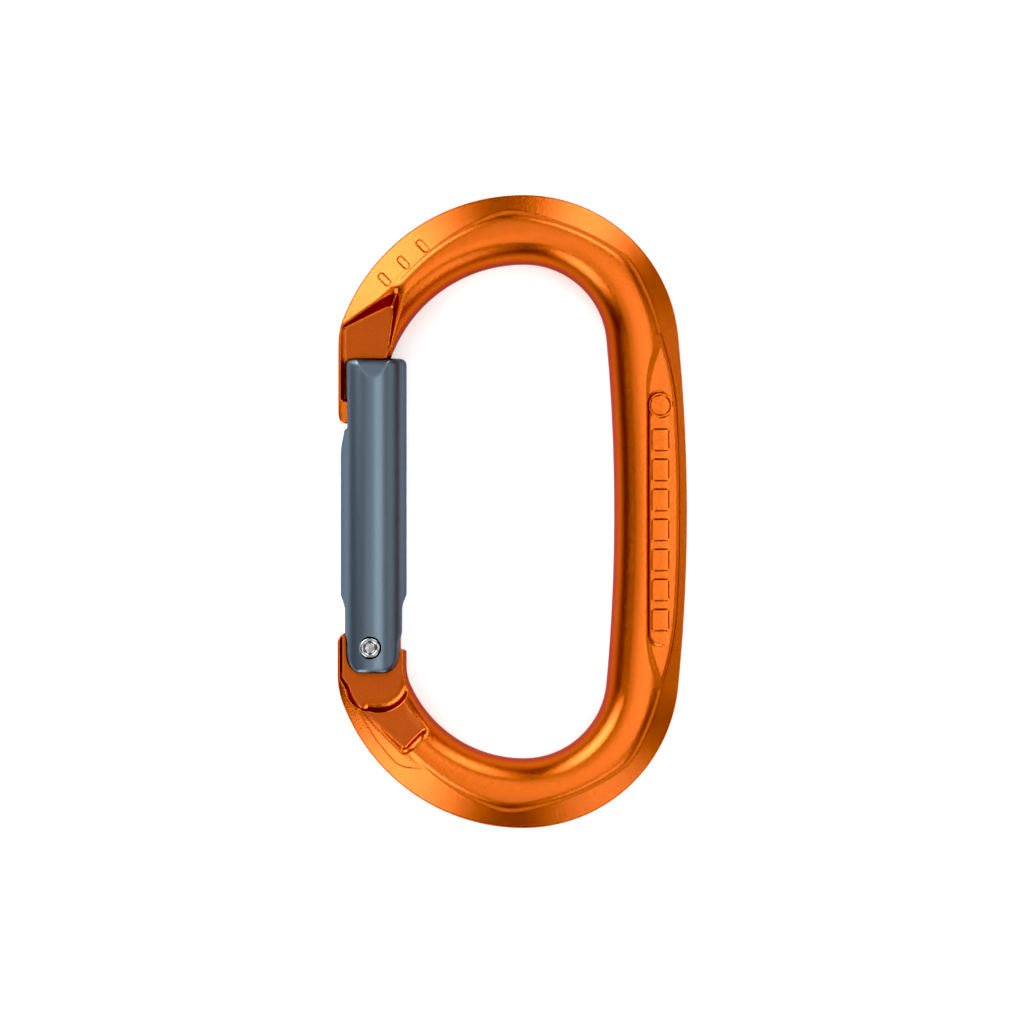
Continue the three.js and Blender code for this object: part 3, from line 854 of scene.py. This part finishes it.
def orange_anodised():
    """The body's anodising, with painted shade and a rougher finish on the pocket floors, and a faint
    mottle.
    """
    material, nodes, links = new_material("orange_anodised")
    shader = nodes["Principled BSDF"]
    shader.inputs["Metallic"].default_value = 1.0
    shader.distribution = "GGX"
    shader.inputs["Specular Tint"].default_value = (0.45, 0.2, 0.1, 1)
    shader.inputs["Coat Weight"].default_value = 0.2
    shader.inputs["Coat Roughness"].default_value = 0.3
    noise = add_grain(nodes, links, shader, 4200.0, 0.6, 0.00007)
    # painted shade: the pockets' floors take the darker colour, and the grain mixes some of it in
    # everywhere as a random mottle
    pocket = nodes.new("ShaderNodeAttribute")
    pocket.attribute_name = POCKET_SHADE_MASK
    mottle = nodes.new("ShaderNodeMath")
    mottle.operation = "MULTIPLY_ADD"
    mottle.inputs[1].default_value = 2.0
    mottle.inputs[2].default_value = -0.85
    links.new(noise.outputs["Fac"], mottle.inputs[0])
    share = nodes.new("ShaderNodeMath")
    share.operation = "ADD"
    share.use_clamp = True
    links.new(pocket.outputs["Fac"], share.inputs[0])
    links.new(mottle.outputs["Value"], share.inputs[1])
    colour = nodes.new("ShaderNodeMix")
    colour.data_type = "RGBA"
    colour.inputs["A"].default_value = (0.465, 0.098, 0.013, 1)
    # the darker colour: painted shade on the pocket floors, and the mottle's random tone elsewhere
    colour.inputs["B"].default_value = (0.29, 0.054, 0.009, 1)
    links.new(share.outputs["Value"], colour.inputs["Factor"])
    links.new(colour.outputs["Result"], shader.inputs["Base Color"])
    # the pocket floors are also rougher, a real difference in finish
    dull = nodes.new("ShaderNodeMapRange")
    dull.inputs["To Min"].default_value = 0.27
    dull.inputs["To Max"].default_value = 0.4
    links.new(pocket.outputs["Fac"], dull.inputs["Value"])
    links.new(dull.outputs["Result"], shader.inputs["Roughness"])
    return material


def grey_anodised():
    """The gate's satin blue-grey anodising."""
    material, nodes, links = new_material("grey_anodised")
    shader = nodes["Principled BSDF"]
    shader.inputs["Metallic"].default_value = 1.0
    shader.inputs["Base Color"].default_value = (0.098, 0.128, 0.157, 1)
    shader.inputs["Specular Tint"].default_value = (0.45, 0.5, 0.6, 1)
    shader.inputs["Roughness"].default_value = 0.36
    add_grain(nodes, links, shader, 2000.0, 0.1, 0.0001)
    return material


def stainless():
    """The bright steel of the rivet, the spring and the plunger."""
    material, nodes, links = new_material("stainless")
    shader = nodes["Principled BSDF"]
    shader.inputs["Metallic"].default_value = 1.0
    shader.inputs["Base Color"].default_value = (0.27, 0.27, 0.27, 1)
    shader.inputs["Roughness"].default_value = 0.25
    add_grain(nodes, links, shader, 900.0, 0.25, 0.0002)
    return material


# ------------------------------------------------------------------ the pieces

ORANGE = orange_anodised()
GREY = grey_anodised()
STEEL = stainless()


def finish_piece(made, material, body, node):
    """Gives a piece its material, says what it rides on, and hides the CAD part that it replaces."""
    made.data.materials.clear()
    made.data.materials.append(material)
    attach(made, body)
    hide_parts(node)


body_low, body_high = node_box("body")
forged_body = formula_piece(
    "forged_body",
    body_plan,
    body_value,
    (body_low[0], body_low[1], 0),
    (body_high[0], body_high[1], HALF),
)
mark_shaded_pocket_floors(forged_body)
finish_piece(forged_body, ORANGE, "body", "body")
gate_piece = formula_piece(
    "round_gate",
    gate_plan,
    gate_value,
    (GATE_LOW[0], GATE_LOW[1], 0),
    (GATE_HIGH[0], GATE_HIGH[1], GATE_R),
)
finish_piece(gate_piece, GREY, "gate", "gate")
finish_piece(make_rivet(), STEEL, "gate", "hinge_rivet")
finish_piece(make_plunger(), STEEL, "plunger", "spring_plunger")
spring_piece = make_spring()
finish_piece(spring_piece, STEEL, "gate", "gate_spring")
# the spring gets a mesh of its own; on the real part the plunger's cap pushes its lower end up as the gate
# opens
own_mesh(spring_piece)


# ------------------------------------------------------------------ floor, light and camera


FLOOR_REACH = 6.0
FLOOR_GAP = 0.00002  # keeps the floor clear of the part's lowest faces
OVERHEAD_HEIGHT = 1.3
SIDE_LIGHT_OFF_AXIS = math.radians(62)  # from straight above
SIDE_LIGHT_DISTANCE = 1.0
CAMERA_LENS = 150.0
CAMERA_SENSOR = 36.0
CAMERA_X = CAMERA_Y = -0.00009
FRAME_WIDTH = 0.1785  # width of the picture at the part's middle plane


def make_floor():
    """A pale floor that the carabiner lies on, lit a little from within to stay nearly white."""
    mesh = bpy.data.meshes.new("floor")
    corners = [(-FLOOR_REACH, -FLOOR_REACH, 0), (FLOOR_REACH, -FLOOR_REACH, 0)]
    corners += [(FLOOR_REACH, FLOOR_REACH, 0), (-FLOOR_REACH, FLOOR_REACH, 0)]
    mesh.from_pydata(corners, [], [(0, 1, 2, 3)])
    made = bpy.data.objects.new("floor", mesh)
    bpy.context.collection.objects.link(made)
    material, nodes, links = new_material("pale_floor")
    shader = nodes["Principled BSDF"]
    shader.inputs["Base Color"].default_value = (0.9, 0.9, 0.9, 1)
    shader.inputs["Roughness"].default_value = 0.7
    shader.inputs["Specular IOR Level"].default_value = 0.2
    shader.inputs["Emission Color"].default_value = (1, 1, 1, 1)
    shader.inputs["Emission Strength"].default_value = 0.22
    mesh.materials.append(material)
    made.location.z = -FLOOR_GAP


def soft_light(name, place, wide, tall, radiance):
    """A rectangular soft light at place, which shines straight down unless it is turned."""
    data = bpy.data.lights.new(name, "AREA")
    data.shape = "RECTANGLE"
    data.size = wide
    data.size_y = tall
    data.energy = radiance * wide * tall * math.pi
    made = bpy.data.objects.new(name, data)
    made.location = place
    bpy.context.collection.objects.link(made)
    return made


def overhead_light(name, x, y, wide, tall, radiance):
    """One of the panels above the object; they leave a gap for the camera."""
    soft_light(name, (x, y, OVERHEAD_HEIGHT), wide, tall, radiance)


def side_light(name, azimuth, wide, tall, radiance):
    """One of the lights round the object, which face it from a slant."""
    a, e = math.radians(azimuth), SIDE_LIGHT_OFF_AXIS
    away = Vector((math.cos(a) * math.sin(e), math.sin(a) * math.sin(e), math.cos(e)))
    made = soft_light(name, away * SIDE_LIGHT_DISTANCE, wide, tall, radiance)
    made.rotation_euler = away.to_track_quat("Z", "Y").to_euler()


def make_camera():
    """The photo's view: straight down on the face, from far enough for little perspective."""
    data = bpy.data.cameras.new("camera")
    data.sensor_width = CAMERA_SENSOR
    data.lens = CAMERA_LENS
    distance = FRAME_WIDTH * CAMERA_LENS / CAMERA_SENSOR
    made = bpy.data.objects.new("camera", data)
    made.location = (CAMERA_X, CAMERA_Y, HALF * MM + distance)
    bpy.context.collection.objects.link(made)
    bpy.context.scene.camera = made


BLACK_LEVEL = 0.02  # deepens the shadows, as in a product photograph

make_floor()
overhead_light("overhead_far", 0.12, 0.48, wide=1.5, tall=0.76, radiance=1.5)
overhead_light("overhead_near", 0, -0.48, wide=1.7, tall=0.76, radiance=1.8)
overhead_light("overhead_left", -0.48, 0, wide=0.76, tall=0.2, radiance=0.6)
overhead_light("overhead_right", 0.46, 0, wide=0.76, tall=0.2, radiance=6.4)
side_light("upper_left", 140, wide=0.8, tall=0.6, radiance=8.0)
side_light("upper_right", 64, wide=0.42, tall=0.6, radiance=6.4)
side_light("lower_right", -58, wide=0.6, tall=0.6, radiance=2.8)
side_light("lower_left", 230, wide=0.5, tall=0.6, radiance=6.2)
side_light("right_fill", 5, wide=0.6, tall=0.6, radiance=1.5)
make_camera()

world = bpy.data.worlds.new("studio")
bpy.context.scene.world = world
world.use_nodes = True
background = world.node_tree.nodes["Background"]
background.inputs["Color"].default_value = (1, 0.6, 0.5, 1)
background.inputs["Strength"].default_value = 0.05
view = bpy.context.scene.view_settings
view.view_transform = "Standard"
view.use_curve_mapping = True
view.curve_mapping.black_level = [BLACK_LEVEL] * 3
